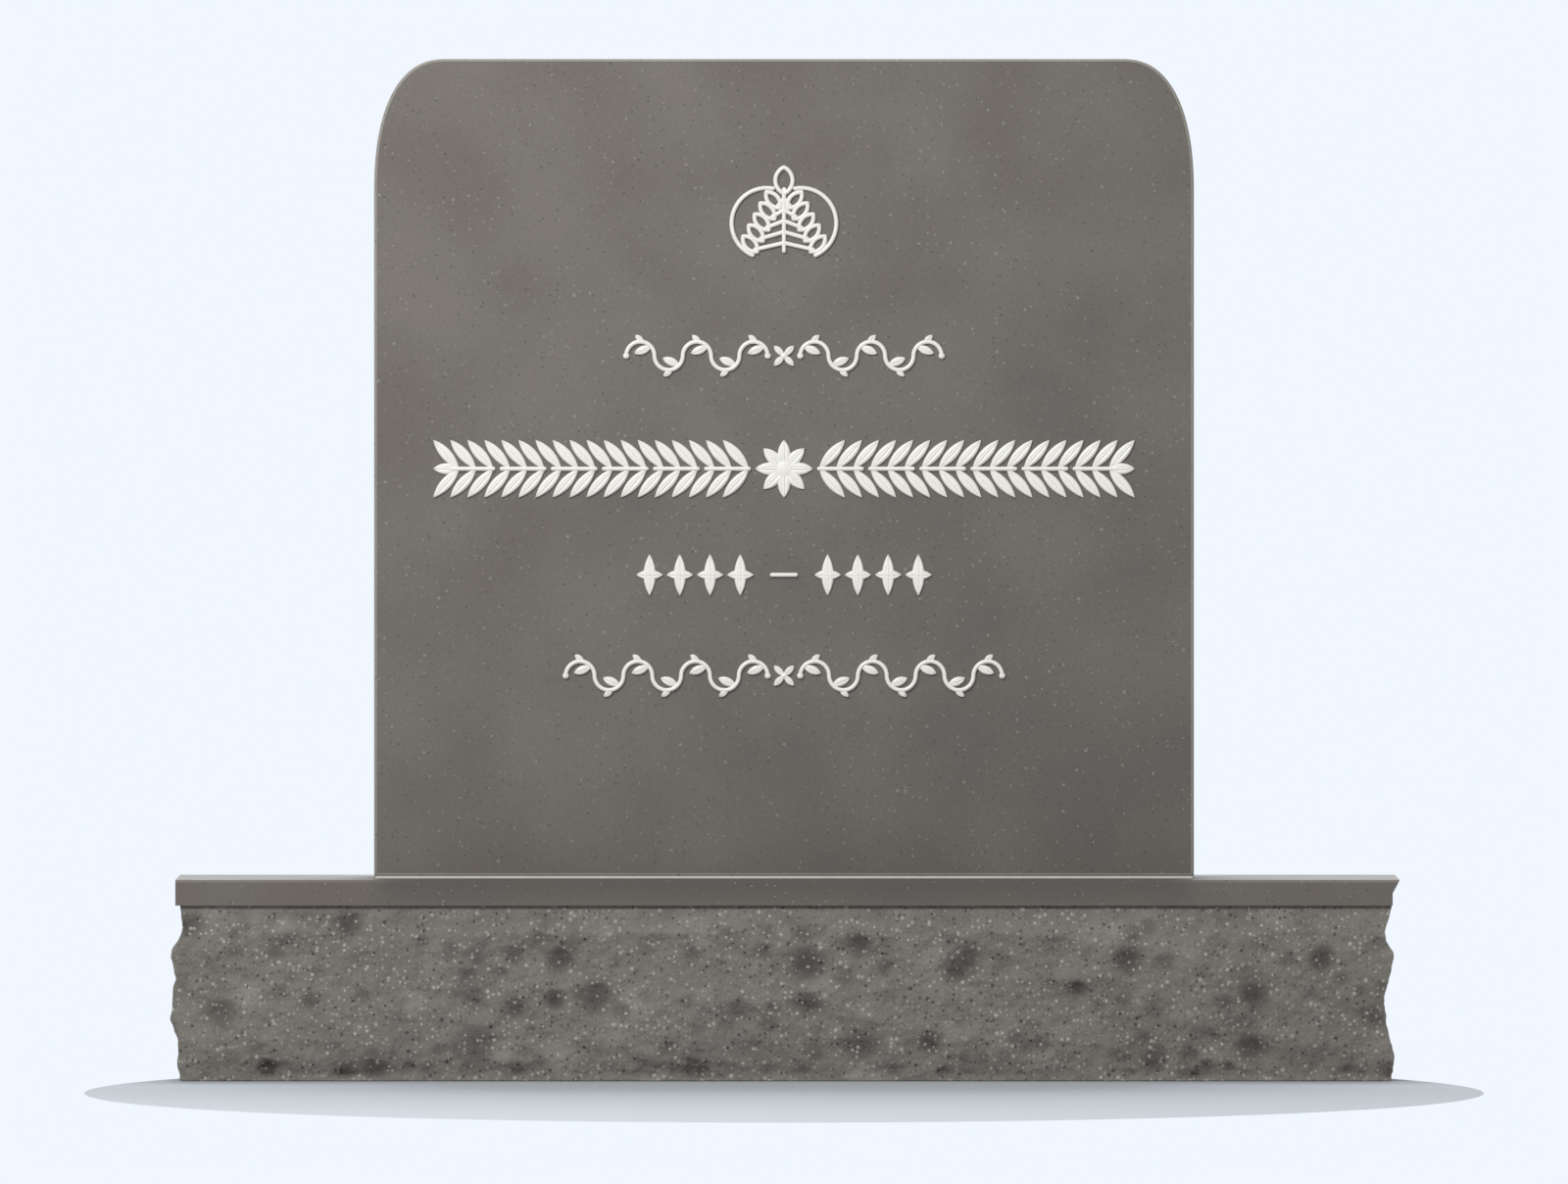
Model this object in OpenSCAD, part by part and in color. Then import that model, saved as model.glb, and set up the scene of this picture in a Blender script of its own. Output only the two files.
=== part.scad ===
// Upright headstone: a tablet with rounded shoulders, bedded and dowelled on a base whose
// four sides are rock pitched below a smooth margin. White castings stand on the tablet's face.
// Millimetres. Z is up, the front faces -Y, and the origin is the middle of the base's underside.

/* [Tablet] */
// Width of the tablet
tablet_w = 610; // [450:1:900]
// Height of the tablet above the bed it stands in
tablet_h = 608; // [500:1:900]
// Thickness of the tablet from front to back
tablet_t = 152; // [75:1:250]
// How far a shoulder curve runs in along the top
shoulder_run = 54; // [20:1:150]
// How far a shoulder curve drops down the side
shoulder_drop = 102; // [30:1:220]
// Fullness of the shoulder curve, where 2 is an ellipse and more is squarer
shoulder_fullness = 2.4; // [1.8:0.1:3.5]
// Chamfer round the front and back faces
tablet_arris = 2; // [0.5:0.5:6]

/* [Base] */
// Width of the base at its smooth margin
base_w = 904; // [700:1:1400]
// Depth of the base at its smooth margin
base_d = 305; // [200:1:500]
// Height of the base
base_h = 149; // [130:1:250]
// Height of the smooth margin below the top
margin_h = 19; // [10:0.5:60]
// Chamfer along the front and back edges of the top
margin_arris = 2; // [0.5:0.5:6]
// The most that a pitched face stands out past the margin
rock_bulge = 8; // [3:1:25]
// How far the pitched faces start behind the margin
rock_undercut = 3.6; // [1:0.2:10]
// How far the unsawn lip flares at the right end of the top
lip_out = 5.3; // [0:0.1:15]
// How far down the end of the margin the lip reaches
lip_h = 10; // [4:1:20]

/* [Joint] */
// Thickness of the setting compound between base and tablet
bed_t = 2; // [1:0.5:6]
// How far the setting compound is raked in behind the tablet's faces
bed_rake = 1; // [0:0.5:5]
// Diameter of the two steel dowels
dowel_d = 16; // [10:1:25]
// Length of the dowels, half in each stone
dowel_l = 150; // [80:5:200]
// Distance between the dowels
dowel_pitch = 380; // [150:5:600]
// Room round a dowel in its hole, for resin
dowel_room = 1; // [0.5:0.5:3]

/* [Castings] */
// Thickness of the castings on the face
casting_t = 3; // [2:0.5:6]
// Width of a line in the castings
stroke = 3.2; // [2:0.2:5]
// Diameter of the studs behind the castings
stud_d = 3; // [2:0.5:5]
// Length of the studs
stud_l = 9; // [6:1:20]
// Room round and behind a stud in its hole, for resin
stud_room = 0.3; // [0.2:0.1:1]

/* [Emblem] */
// From the tablet's top down to the middle of the emblem
emblem_drop = 115; // [80:1:140]
// Radius of the emblem's two open arcs
wreath_r = 26.2; // [20:0.2:32]
// Number of twigs on each side of the emblem
twigs = 5; // [3:1:6]

/* [Verses] */
// From the tablet's top down to the middle of the upper verse scroll
upper_verse_drop = 221; // [190:1:240]
// Width of the upper verse scroll
upper_verse_w = 238; // [160:2:300]
// Waves in each half of the upper verse scroll
upper_verse_waves = 5; // [3:1:8]
// From the tablet's top down to the middle of the lower verse scroll
lower_verse_drop = 459; // [430:1:470]
// Width of the lower verse scroll
lower_verse_w = 328; // [200:2:360]
// Waves in each half of the lower verse scroll
lower_verse_waves = 7; // [4:1:10]
// Width of the little flower in the middle of a verse scroll
bud_d = 15; // [10:1:20]

/* [Name row] */
// From the tablet's top down to the middle of the name row
name_drop = 305; // [280:1:330]
// Height of the name row
name_row_h = 43; // [30:1:60]
// Bare stone left at each end of the name row
name_row_margin = 44; // [30:1:80]
// Number of sprays on each side of the rosette
sprays = 6; // [3:1:8]
// Gap between neighbouring castings in a row
casting_gap = 3; // [1:0.5:6]

/* [Date row] */
// From the tablet's top down to the middle of the date row
date_drop = 384; // [360:1:405]
// Height of a star in the date row
star_h = 31; // [20:1:40]
// Width of a star in the date row
star_w = 20; // [12:1:24]
// Clear space between neighbouring stars
star_gap = 2.5; // [1:0.5:8]
// Number of stars on each side of the dash
stars = 4; // [2:1:5]
// Length of the dash between the stars
dash_w = 21; // [10:1:30]
// Clear space at each end of the dash
dash_gap = 12; // [6:1:20]

/* [Hidden] */
$fn = 96;
HONED = [0.44, 0.42, 0.40];
PITCHED = [0.46, 0.45, 0.43];
COMPOUND = [0.64, 0.62, 0.60];
STEEL = [0.72, 0.72, 0.74];
ENAMEL = [0.96, 0.96, 0.94];

tablet_z = base_h + bed_t;
tablet_top = tablet_z + tablet_h;
rock_h = base_h - margin_h;

// Name of numbered node n in a group
function numbered(group, n) = str(group, "_", n);

// ---- Tablet ----

// The right shoulder, from the side up to the top, as a superellipse quarter
SHOULDER_STEPS = 14;
shoulder = [for (i = [0 : SHOULDER_STEPS])
    let (a = 90 * i / SHOULDER_STEPS, power = 2 / shoulder_fullness)
    [tablet_w / 2 - shoulder_run * (1 - pow(cos(a), power)),
     tablet_h - shoulder_drop * (1 - pow(sin(a), power))]];

module tablet_outline() {
    left_shoulder = [for (i = [SHOULDER_STEPS : -1 : 0]) [-shoulder[i].x, shoulder[i].y]];
    polygon(concat([[-tablet_w / 2, 0], [tablet_w / 2, 0]], shoulder, left_shoulder));
}

// Turns a drawing of the front, x across and y up, to stand with its middle plane at y = 0
module standing(thickness) {
    rotate([90, 0, 0])
        linear_extrude(thickness, center = true)
            children();
}

module tablet() {
    color(HONED)
    difference() {
        translate([0, 0, tablet_z])
            hull() {
                standing(tablet_t - 2 * tablet_arris) tablet_outline();
                standing(tablet_t) offset(delta = -tablet_arris) tablet_outline();
            }
        dowel_holes();
        stud_holes();
    }
}

// ---- Base ----

// How far each end of the base stands out, as [share of the rock's height, millimetres]
left_end = [
    [0, -4.4], [0.12, 0], [0.23, -1], [0.35, 5.8],
    [0.58, 1.2], [0.71, 5.8], [0.84, -3.6], [1, -3.6]
];
right_end = [
    [0, -0.7], [0.12, 2.6], [0.36, -3.4], [0.47, -4.4],
    [0.71, 2], [0.84, -4.4], [0.95, -0.8], [1, -0.8]
];

ROCK_LEVELS = [0, 0.12, 0.23, 0.35, 0.47, 0.58, 0.71, 0.84, 1];
ROCK_TOP = len(ROCK_LEVELS) - 1;
ROCK_CELL = 30;       // about the width of one facet
SCALLOP = 3;          // facets across one large scallop
LEVEL_WANDER = 0.019; // how far a level wanders up or down, as a share of the rock's height
SAW_ALLOWANCE = 5;    // rock below the underside, before it is sawn flat
PITCH_LINE = 1;       // straight stone left below the margin, above the first break
INTO_MARGIN = 8;      // how far the rock's core runs up inside the margin

front_cells = round(base_w / ROCK_CELL);
end_cells = round(base_d / ROCK_CELL);
scallops = rands(-1, 1, 400, 41);
breaks = rands(-1, 1, 2000, 7);

// Large scallops, joined by straight facets: i counts cells along the face, k counts levels up
function scallop(i, k, face) =
    let (a = i / SCALLOP, b = k / 2, i0 = floor(a), k0 = floor(b), u = a - i0, v = b - k0)
    let (at = function (p, q) scallops[(face * 97 + p * 7 + q) % len(scallops)])
    (1 - u) * (1 - v) * at(i0, k0) + u * (1 - v) * at(i0 + 1, k0)
    + (1 - u) * v * at(i0, k0 + 1) + u * v * at(i0 + 1, k0 + 1);

// Small breaks on the scallops
function break(i, k, face) = breaks[(face * 331 + i * 11 + k) % len(breaks)];

// How far a long face stands out from the margin at cell i and level k
function face_out(i, k, face) =
    k == ROCK_TOP ? -rock_undercut :
    k == 0 ? -rock_undercut + 2 * break(i, k, face) :
    rock_bulge * (0.25 + 0.5 * scallop(i, k, face) + 0.25 * break(i, k, face));

// How far an end stands out at level k: its outline at the front corner, and a little less behind it
function end_out(i, k, face, outline) =
    lookup(ROCK_LEVELS[k], outline) - (i == 0 || k == ROCK_TOP ? 0 : 1.5 + 1.5 * break(i, k, face));

// Height of level k, uneven between the flat underside and the straight line below the margin
function rock_z(i, k, face) =
    k == 0 ? -SAW_ALLOWANCE :
    k == ROCK_TOP ? rock_h - PITCH_LINE :
    rock_h * (ROCK_LEVELS[k] + LEVEL_WANDER * break(i + 3, k + 5, face));

// One ring of points round the base, counter-clockwise from the front left corner
function rock_ring(k) = concat(
    [for (i = [0 : front_cells - 1]) i == 0
        ? [-base_w / 2 - end_out(0, k, 3, left_end), -base_d / 2 - face_out(i, k, 0), rock_z(0, k, 0)]
        : [-base_w / 2 + i * base_w / front_cells, -base_d / 2 - face_out(i, k, 0), rock_z(i, k, 0)]],
    [for (i = [0 : end_cells - 1])
        [base_w / 2 + end_out(i, k, 1, right_end),
         -base_d / 2 + i * base_d / end_cells - (i == 0 ? face_out(front_cells, k, 0) : 0),
         rock_z(i, k, 1)]],
    [for (i = [0 : front_cells - 1]) i == 0
        ? [base_w / 2 + end_out(end_cells, k, 1, right_end), base_d / 2 + face_out(i, k, 2),
           rock_z(0, k, 2)]
        : [base_w / 2 - i * base_w / front_cells, base_d / 2 + face_out(i, k, 2), rock_z(i, k, 2)]],
    [for (i = [0 : end_cells - 1])
        [-base_w / 2 - end_out(end_cells - i, k, 3, left_end),
         base_d / 2 - i * base_d / end_cells + (i == 0 ? face_out(front_cells, k, 2) : 0),
         rock_z(i, k, 3)]]
);

module rock() {
    core_top = [for (p = rock_ring(ROCK_TOP)) [p.x, p.y, rock_h + INTO_MARGIN]];
    rings = concat([for (k = [0 : ROCK_TOP]) rock_ring(k)], [core_top]);
    n = len(rings[0]);
    points = [for (ring = rings) each ring];
    sides = [for (k = [0 : len(rings) - 2], i = [0 : n - 1])
        let (a = k * n + i, b = k * n + (i + 1) % n)
        each [[a, a + n, b], [b, a + n, b + n]]];
    underside = [for (i = [0 : n - 1]) i];
    top = [for (i = [n - 1 : -1 : 0]) (len(rings) - 1) * n + i];
    polyhedron(points, concat(sides, [underside, top]), convexity = 6);
}

// The smooth margin, with the unsawn lip at its right end
module margin() {
    outline = [
        [-base_w / 2, rock_h], [base_w / 2, rock_h], [base_w / 2, base_h - lip_h],
        [base_w / 2 + lip_out, base_h], [-base_w / 2, base_h]
    ];
    difference() {
        standing(base_d) polygon(outline);
        for (side = [-1, 1])
            translate([0, side * base_d / 2, base_h])
                rotate([45, 0, 0])
                    cube([1.2 * base_w, margin_arris * sqrt(2), margin_arris * sqrt(2)], center = true);
    }
}

// What the saw takes off below the underside
module saw_cut() {
    depth = 2 * SAW_ALLOWANCE;
    translate([0, 0, -depth / 2]) cube([1.2 * base_w, 1.2 * base_d, depth], center = true);
}

module base() {
    color(PITCHED)
    difference() {
        union() {
            rock();
            margin();
        }
        saw_cut();
        dowel_holes();
    }
}

// ---- Joint between the stones ----

module setting_bed() {
    color(COMPOUND)
    difference() {
        translate([0, 0, base_h + bed_t / 2])
            cube([tablet_w - 2 * bed_rake, tablet_t - 2 * bed_rake, bed_t], center = true);
        dowel_holes();
    }
}

// A dowel's axis, half in each stone
module at_dowel(side) {
    translate([side * dowel_pitch / 2, 0, base_h + bed_t / 2]) children();
}

module dowel(side) {
    color(STEEL) at_dowel(side) cylinder(d = dowel_d, h = dowel_l, center = true);
}

module dowel_holes() {
    for (side = [-1, 1])
        at_dowel(side)
            cylinder(d = dowel_d + 2 * dowel_room, h = dowel_l + 2 * dowel_room, center = true);
}

// ---- Castings ----

// A casting from its drawing, standing on the tablet's face at x and so far below the tablet's top.
// studs lists the places of its studs on the drawing.
module casting(x, drop, studs) {
    color(ENAMEL)
    on_face(x, drop) {
        linear_extrude(casting_t) children();
        for (p = studs)
            translate([p.x, p.y, -stud_l]) cylinder(d = stud_d, h = stud_l + casting_t / 2);
    }
}

// Places a drawing in the plane of the tablet's face, with its own z pointing out of the stone
module on_face(x, drop) {
    translate([x, -tablet_t / 2, tablet_top - drop]) rotate([90, 0, 0]) children();
}

module stud_holes_at(x, drop, studs) {
    on_face(x, drop)
        for (p = studs)
            translate([p.x, p.y, -stud_l - stud_room])
                cylinder(d = stud_d + 2 * stud_room, h = stud_l + stud_room + 1);
}

module stud_holes() {
    stud_holes_at(0, emblem_drop, emblem_studs);
    for (side = [-1, 1]) {
        stud_holes_at(0, upper_verse_drop, scroll_studs(upper_verse_w, upper_verse_waves, side));
        stud_holes_at(0, lower_verse_drop, scroll_studs(lower_verse_w, lower_verse_waves, side));
        for (n = [1 : sprays]) stud_holes_at(side * spray_x(n), name_drop, [spray_stud(side)]);
        for (n = [1 : stars]) stud_holes_at(side * star_x(n), date_drop, [[0, 0]]);
    }
    for (drop = [upper_verse_drop, lower_verse_drop, name_drop, date_drop])
        stud_holes_at(0, drop, [[0, 0]]);
}

// A leaf from its tip at the origin out along x
module leaf(l, w) {
    r = (l * l + w * w) / (4 * w);
    intersection() {
        translate([l / 2, r - w / 2]) circle(r);
        translate([l / 2, w / 2 - r]) circle(r);
    }
}

// A leaf drawn as a line round an opening
module leaf_loop(l, w) {
    difference() {
        leaf(l, w);
        translate([1.4 * stroke, 0]) leaf(l - 2.8 * stroke, w - 1.5 * stroke);
    }
}

// A line bent to radius r about the origin, with round ends
module arc_line(r, from, to) {
    turns = [for (i = [0 : 8]) from + (to - from) * i / 8];
    intersection() {
        difference() {
            circle(r + stroke / 2);
            circle(r - stroke / 2);
        }
        polygon(concat([[0, 0]], [for (a = turns) 2 * r * [cos(a), sin(a)]]));
    }
    for (a = [from, to]) translate(r * [cos(a), sin(a)]) circle(d = stroke);
}

// A straight line from a to b, with round ends
module line(a, b) {
    along = b - a;
    translate(a) rotate(atan2(along.y, along.x)) {
        translate([0, -stroke / 2]) square([norm(along), stroke]);
        circle(d = stroke);
        translate([norm(along), 0]) circle(d = stroke);
    }
}

// ---- Emblem: a sprig standing between two open arcs ----

wreath_x = 12.8;
wreath_y = -7.3;
twig_foot = -25;
twig_rise = 8.2;
twig_droop = 5;
twig_reach = 21.5;
twig_step = 4.3;
bud_y = 15;
emblem_studs = [[0, bud_y + 3], [-wreath_x - wreath_r, wreath_y], [wreath_x + wreath_r, wreath_y]];

module emblem_half() {
    translate([wreath_x, wreath_y]) arc_line(wreath_r, -66, 100);
    for (n = [0 : twigs - 1]) {
        tip = [twig_reach - twig_step * n, twig_foot + twig_rise * n - 2];
        line([0, tip.y + twig_droop], tip);
        translate(tip) rotate(48) translate([-4, 0]) leaf_loop(19, 11);
    }
}

module emblem_drawing() {
    emblem_half();
    mirror([1, 0]) emblem_half();
    line([0, twig_foot - 3], [0, bud_y]);
    translate([0, bud_y - 2]) rotate(90) leaf_loop(23, 16);
}

// ---- Verses: two waving stems either side of a little flower ----

// Radius of a wave, so that the waves fill half the row beside the flower
function wave_r(w, waves) = (w / 2 - bud_d / 2 - casting_gap - stroke) / (2 * waves);
function scroll_start() = bud_d / 2 + casting_gap + stroke / 2;
function scroll_studs(w, waves, side) =
    let (r = wave_r(w, waves))
    [for (n = [0, waves]) [side * (scroll_start() + 2 * r * n), 0]];

module scroll_drawing(w, waves) {
    r = wave_r(w, waves);
    translate([scroll_start(), 0])
        for (n = [0 : waves - 1])
            translate([(2 * n + 1) * r, 0]) mirror([0, n % 2]) {
                arc_line(r, 0, 180);
                translate(r * [cos(140), sin(140)]) rotate(-22) leaf(1.3 * r, 0.6 * r);
                translate(r * [cos(105), sin(105)]) rotate(38) leaf(0.8 * r, 0.42 * r);
            }
    for (n = [0, waves]) translate([scroll_start() + 2 * r * n, 0]) circle(d = 1.5 * stroke);
}

module scroll(side, w, waves, drop) {
    casting(0, drop, scroll_studs(w, waves, side))
        mirror([side < 0 ? 1 : 0, 0]) scroll_drawing(w, waves);
}

module upper_scroll(side) {
    scroll(side, upper_verse_w, upper_verse_waves, upper_verse_drop);
}

module lower_scroll(side) {
    scroll(side, lower_verse_w, lower_verse_waves, lower_verse_drop);
}

module bud(drop) {
    casting(0, drop, [[0, 0]]) {
        for (a = [45 : 90 : 315]) rotate(a) leaf(bud_d / sqrt(2), bud_d / 3);
        circle(d = bud_d / 3);
    }
}

// ---- Name row: two laurel branches, cast as short sprays, either side of a rosette ----

LAUREL_PAIRS = 3;     // pairs of leaves on one spray
LAUREL_ANGLE = 48;    // between a leaf and the stem

laurel_run = name_row_h / 2 / tan(LAUREL_ANGLE);
spray_start = name_row_h / 2 + casting_gap;
spray_pitch = (tablet_w / 2 - name_row_margin - spray_start - stroke / 2 - laurel_run)
    / (sprays - 1 / LAUREL_PAIRS);
pair_pitch = spray_pitch / LAUREL_PAIRS;
function spray_x(n) = spray_start + (n - 1) * spray_pitch;
function spray_stud(side) = [side * (stroke / 2 + pair_pitch), 0];

module laurel_leaf(angle, l) {
    rotate(angle) leaf(l, 0.88 * pair_pitch * sin(LAUREL_ANGLE));
}

module spray(side, n) {
    casting(side * spray_x(n), name_drop, [spray_stud(side)])
        mirror([side < 0 ? 1 : 0, 0]) {
            line([stroke / 2, 0], [spray_pitch - casting_gap - stroke / 2, 0]);
            for (k = [0 : LAUREL_PAIRS - 1], up = [-1, 1])
                translate([stroke / 2 + k * pair_pitch, 0])
                    laurel_leaf(up * LAUREL_ANGLE, norm([laurel_run, name_row_h / 2]));
            if (n == sprays)
                translate([stroke / 2 + (LAUREL_PAIRS - 1) * pair_pitch, 0])
                    laurel_leaf(0, laurel_run);
        }
}

module rosette() {
    petals = 8;
    casting(0, name_drop, [[0, 0]]) {
        for (i = [0 : petals - 1]) rotate(360 / petals * i) leaf(name_row_h / 2, name_row_h / 4.6);
        circle(d = name_row_h / 3);
    }
}

// ---- Date row: four-pointed stars either side of a dash ----

function star_x(n) = dash_w / 2 + dash_gap + star_w / 2 + (n - 1) * (star_w + star_gap);

module star(side, n) {
    casting(side * star_x(n), date_drop, [[0, 0]]) {
        translate([-star_w / 2, 0]) leaf(star_w, star_w / 2.6);
        translate([0, -star_h / 2]) rotate(90) leaf(star_h, star_w / 2.2);
    }
}

module dash() {
    casting(0, date_drop, [[0, 0]])
        line([-dash_w / 2 + stroke / 2, 0], [dash_w / 2 - stroke / 2, 0]);
}

tablet();
base();
setting_bed();
dowel(-1);  // left_dowel
dowel(1);  // right_dowel
casting(0, emblem_drop, emblem_studs) emblem_drawing();  // emblem
upper_scroll(-1);  // left_upper_scroll
bud(upper_verse_drop);  // upper_bud
upper_scroll(1);  // right_upper_scroll
lower_scroll(-1);  // left_lower_scroll
bud(lower_verse_drop);  // lower_bud
lower_scroll(1);  // right_lower_scroll
for (n = [1 : sprays]) {
    spray(-1, n);
    spray(1, n);
}
rosette();
for (n = [1 : stars]) {
    star(-1, n);
    star(1, n);
}
dash();
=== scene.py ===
# Upright headstone of grey granite. A tablet with rounded shoulders is bedded and dowelled on a
# base with rock-pitched sides, and white enamelled castings are pinned to its front face.
import math

import bpy
import numpy as np
from mathutils import Matrix, Vector


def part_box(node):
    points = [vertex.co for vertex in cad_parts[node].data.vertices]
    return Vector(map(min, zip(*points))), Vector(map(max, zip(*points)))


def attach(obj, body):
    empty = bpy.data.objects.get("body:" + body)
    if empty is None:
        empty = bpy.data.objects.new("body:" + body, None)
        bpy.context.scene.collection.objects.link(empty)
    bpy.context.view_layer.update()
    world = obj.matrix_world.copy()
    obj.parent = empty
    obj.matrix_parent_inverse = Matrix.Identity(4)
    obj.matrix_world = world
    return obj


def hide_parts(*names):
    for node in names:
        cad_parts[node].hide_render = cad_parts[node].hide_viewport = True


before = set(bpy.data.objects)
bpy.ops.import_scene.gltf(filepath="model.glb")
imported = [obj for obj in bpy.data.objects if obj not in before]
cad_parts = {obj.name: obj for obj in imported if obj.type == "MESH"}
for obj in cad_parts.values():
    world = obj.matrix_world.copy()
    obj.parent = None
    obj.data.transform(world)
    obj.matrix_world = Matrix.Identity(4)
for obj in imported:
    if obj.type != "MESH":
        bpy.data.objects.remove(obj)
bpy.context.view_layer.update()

tablet_low, tablet_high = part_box("tablet")
base_low, base_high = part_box("base")
bpy.ops.object.select_all(action="DESELECT")


# ---- Camera: straight in front and far off, a little above the top of the base ----

VIEW_WIDTH = 1.1667        # what the camera takes in at the tablet's face
CAMERA_DISTANCE = 36
CAMERA_HEIGHT = 0.62
AIM_BELOW_TOP = 0.3967

aim = Vector((0, tablet_low.y, tablet_high.z - AIM_BELOW_TOP))
eye = Vector((0, tablet_low.y - CAMERA_DISTANCE, CAMERA_HEIGHT))
bpy.ops.object.camera_add(location=eye)
camera = bpy.context.object
camera.rotation_euler = (aim - eye).to_track_quat("-Z", "Y").to_euler()
camera.data.sensor_width = 36
camera.data.lens = camera.data.sensor_width * (aim - eye).length / VIEW_WIDTH
camera.data.clip_end = 100
bpy.context.scene.camera = camera
bpy.context.scene.view_settings.view_transform = "Standard"


# ---- Studio: a pale surround, one large soft lamp high on the left, another
# overhead, and a pale grey oval floor whose shape, place and tone also paint a ground shadow ----

SURROUND_LIGHT = 0.43      # strength of the surround where it lights the stone
LAMP_PLACE = Vector((-1.3, -3.0, 2.3))
LAMP_AIM = Vector((0, -0.1, 0.4))
LAMP_SIZE = 0.9
LAMP_POWER = 85

TOP_LAMP_PLACE = Vector((0, 1.7, 2.4))
TOP_LAMP_POWER = 70
FLOOR_MIDDLE = Vector((0, -0.617, -0.0005))
FLOOR_HALF_WIDTH = 0.5126
FLOOR_HALF_DEPTH = 1.226


def srgb(red, green, blue):
    """A colour written from 0 to 255, as the linear colour that a shader takes."""
    shares = [c / 255 for c in (red, green, blue)]
    return [c / 12.92 if c < 0.04045 else ((c + 0.055) / 1.055) ** 2.4 for c in shares] + [1]


def add(tree, kind, settings=None, **inputs):
    """A new shader node. An input is a number, a colour or the socket that feeds it."""
    made = tree.nodes.new(kind)
    for key, value in (settings or {}).items():
        setattr(made, key, value)
    for key, value in inputs.items():
        socket = made.inputs[key.replace("_", " ")]
        if isinstance(value, bpy.types.NodeSocket):
            tree.links.new(value, socket)
        else:
            socket.default_value = value
    return made


def maths(tree, operation, first, second=None):
    """The result of one Math node on one or two sockets."""
    made = add(tree, "ShaderNodeMath", {"operation": operation})
    tree.links.new(first, made.inputs[0])
    if second:
        tree.links.new(second, made.inputs[1])
    return made.outputs[0]


def new_material(name):
    """An empty Principled material: its node tree and its shader."""
    material = bpy.data.materials.new(name)
    material.use_nodes = True
    return material, material.node_tree, material.node_tree.nodes["Principled BSDF"]


world = bpy.data.worlds.new("surround")
bpy.context.scene.world = world
world.use_nodes = True
tree = world.node_tree
tree.nodes.clear()
rays = add(tree, "ShaderNodeLightPath")
seen = maths(tree, "MAXIMUM", rays.outputs["Is Camera Ray"], rays.outputs["Is Glossy Ray"])
seen_at_all = maths(tree, "MAXIMUM", seen, rays.outputs["Is Transmission Ray"])
lighting = add(tree, "ShaderNodeBackground", Color=srgb(255, 254, 252), Strength=SURROUND_LIGHT)
backdrop = add(tree, "ShaderNodeBackground", Color=srgb(240, 247, 255), Strength=1.0)
either = add(tree, "ShaderNodeMixShader", Fac=seen_at_all)
tree.links.new(lighting.outputs[0], either.inputs[1])
tree.links.new(backdrop.outputs[0], either.inputs[2])
add(tree, "ShaderNodeOutputWorld", Surface=either.outputs[0])

bpy.ops.object.light_add(type="AREA", location=LAMP_PLACE)
lamp = bpy.context.object
lamp.name = "key_lamp"
lamp.data.size = LAMP_SIZE
lamp.data.energy = LAMP_POWER
lamp.data.color = (1.0, 0.985, 0.96)
lamp.rotation_euler = (LAMP_AIM - LAMP_PLACE).to_track_quat("-Z", "Y").to_euler()

bpy.ops.object.light_add(type="AREA", location=TOP_LAMP_PLACE)
top_lamp = bpy.context.object
top_lamp.name = "top_lamp"
top_lamp.data.size = 1.5
top_lamp.data.energy = TOP_LAMP_POWER
top_lamp.rotation_euler = (Vector((0, 0, 0.1)) - TOP_LAMP_PLACE).to_track_quat("-Z", "Y").to_euler()

# The floor is an oval reaching far in front of the stone and toned darker than the surround: a floor to stand
# on, and also a painted ground shadow.
bpy.ops.mesh.primitive_circle_add(vertices=192, radius=1, fill_type="NGON", location=FLOOR_MIDDLE)
floor = bpy.context.object
floor.name = "floor"
floor.scale = (FLOOR_HALF_WIDTH, FLOOR_HALF_DEPTH, 1)
bpy.ops.object.transform_apply(location=True, rotation=True, scale=True)
material, tree, shader = new_material("floor_and_painted_ground_shadow")
shader.inputs["Base Color"].default_value = srgb(172, 179, 186)
shader.inputs["Roughness"].default_value = 0.9
floor.data.materials.append(material)


# ---- Base: one granite block, its sides and ends broken with the pitching tool below a sawn
# margin. Each blow leaves a hollow, painted darker as painted shade, or a pale bruise, and the stone's dark
# and light grains show. ----

MARGIN_HEIGHT = 0.019
ROCK_CUTS = 7              # cuts across a facet, so that the break can be roughened
DEEP_PITS = 110
SMALL_PITS = 450
BRUISES = 160
pitch_line = base_high.z - MARGIN_HEIGHT
chance = np.random.default_rng(53)


def copy_of(node_name, piece_name):
    """A piece with the same shape as a CAD node, its loose triangles joined."""
    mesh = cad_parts[node_name].data.copy()
    mesh.materials.clear()
    piece = bpy.data.objects.new(piece_name, mesh)
    bpy.context.collection.objects.link(piece)
    make_active(piece)
    bpy.ops.mesh.customdata_custom_splitnormals_clear()
    bpy.ops.object.mode_set(mode="EDIT")
    bpy.ops.mesh.select_all(action="SELECT")
    bpy.ops.mesh.remove_doubles(threshold=1e-5)
    bpy.ops.object.mode_set(mode="OBJECT")
    return piece


def make_active(piece):
    """Selects this piece and nothing else."""
    bpy.ops.object.select_all(action="DESELECT")
    piece.select_set(True)
    bpy.context.view_layer.objects.active = piece


def select_faces(piece, wanted):
    """Goes into edit mode with just the wanted faces selected."""
    bpy.ops.object.mode_set(mode="EDIT")
    bpy.ops.mesh.select_mode(type="FACE")
    bpy.ops.mesh.select_all(action="DESELECT")
    bpy.ops.object.mode_set(mode="OBJECT")
    for face in piece.data.polygons:
        face.select = wanted(face)
    bpy.ops.object.mode_set(mode="EDIT")


def modify(piece, kind, **settings):
    """Adds a modifier and applies it."""
    make_active(piece)
    bpy.ops.object.modifier_add(type=kind)
    modifier = piece.modifiers[-1]
    for key, value in settings.items():
        setattr(modifier, key, value)
    bpy.ops.object.modifier_apply(modifier=modifier.name)


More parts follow.
